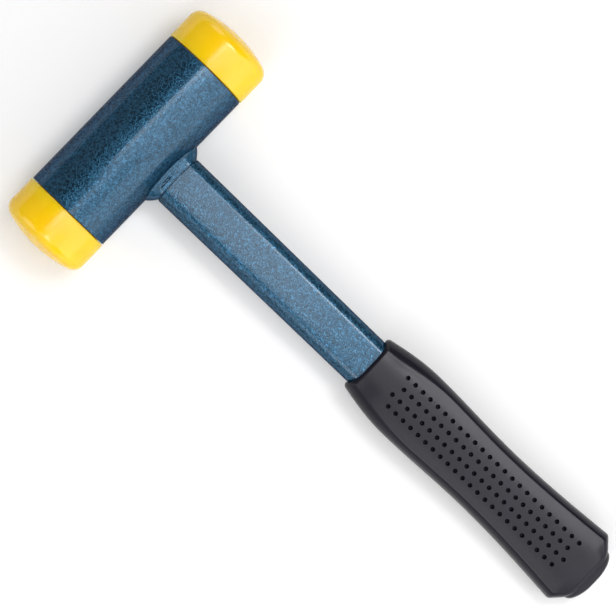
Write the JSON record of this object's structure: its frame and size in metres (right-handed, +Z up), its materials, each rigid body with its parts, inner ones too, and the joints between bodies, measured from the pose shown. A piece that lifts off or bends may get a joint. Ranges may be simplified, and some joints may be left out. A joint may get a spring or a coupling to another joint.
{
  "type": "dead blow hammer",
  "caption": "Dead blow hammer: shot-filled blue steel head with yellow striking faces, flat oval tube handle and perforated black grip.",
  "frame": {"origin": "on the surface that the hammer lies on, under the middle of its bounding box", "axes": "+X from the head along the handle to the butt, +Y along the head to the right striking face, +Z up from the surface"},
  "size_m": [0.28, 0.1196, 0.04],
  "materials": {
    "hammertone_paint": "dark blue hammertone stove enamel on steel",
    "yellow_polyurethane": "smooth glossy polyurethane",
    "grip_rubber": "satin moulded vinyl rubber",
    "zinc_plated_steel": "pressed sheet steel, zinc plated",
    "bright_steel_shot": "bright steel balls"
  },
  "bodies": {
    "hammer": {"head_tube": "hammertone_paint", "closing_disc_right": "zinc_plated_steel", "closing_disc_left": "zinc_plated_steel", "weld_collar": "hammertone_paint", "handle_tube": "hammertone_paint", "grip_sleeve": "grip_rubber"},
    "right_face": {"striking_face_right": "yellow_polyurethane"},
    "left_face": {"striking_face_left": "yellow_polyurethane"},
    "shot_charge": {"shot_ball_01": "bright_steel_shot", "shot_ball_02": "bright_steel_shot", "shot_ball_03": "bright_steel_shot", "shot_ball_04": "bright_steel_shot", "shot_ball_05": "bright_steel_shot", "shot_ball_06": "bright_steel_shot", "shot_ball_07": "bright_steel_shot", "shot_ball_08": "bright_steel_shot", "shot_ball_09": "bright_steel_shot", "shot_ball_10": "bright_steel_shot", "shot_ball_11": "bright_steel_shot", "shot_ball_12": "bright_steel_shot", "shot_ball_13": "bright_steel_shot", "shot_ball_14": "bright_steel_shot", "shot_ball_15": "bright_steel_shot", "shot_ball_16": "bright_steel_shot", "shot_ball_17": "bright_steel_shot", "shot_ball_18": "bright_steel_shot", "shot_ball_19": "bright_steel_shot", "shot_ball_20": "bright_steel_shot", "shot_ball_21": "bright_steel_shot", "shot_ball_22": "bright_steel_shot", "shot_ball_23": "bright_steel_shot", "shot_ball_24": "bright_steel_shot", "shot_ball_25": "bright_steel_shot", "shot_ball_26": "bright_steel_shot", "shot_ball_27": "bright_steel_shot", "shot_ball_28": "bright_steel_shot"}
  },
  "joints": [
    {"name": "shot_slide", "type": "slide", "parent": "hammer", "child": "shot_charge", "axis": [0, 1, 0], "range_m": [-0.0043, 0.0043]},
    {"name": "right_face_pull", "type": "slide", "parent": "hammer", "child": "right_face", "axis": [0, 1, 0], "range_m": [0, 0.025]},
    {"name": "left_face_pull", "type": "slide", "parent": "hammer", "child": "left_face", "axis": [0, -1, 0], "range_m": [0, 0.025]}
  ]
}
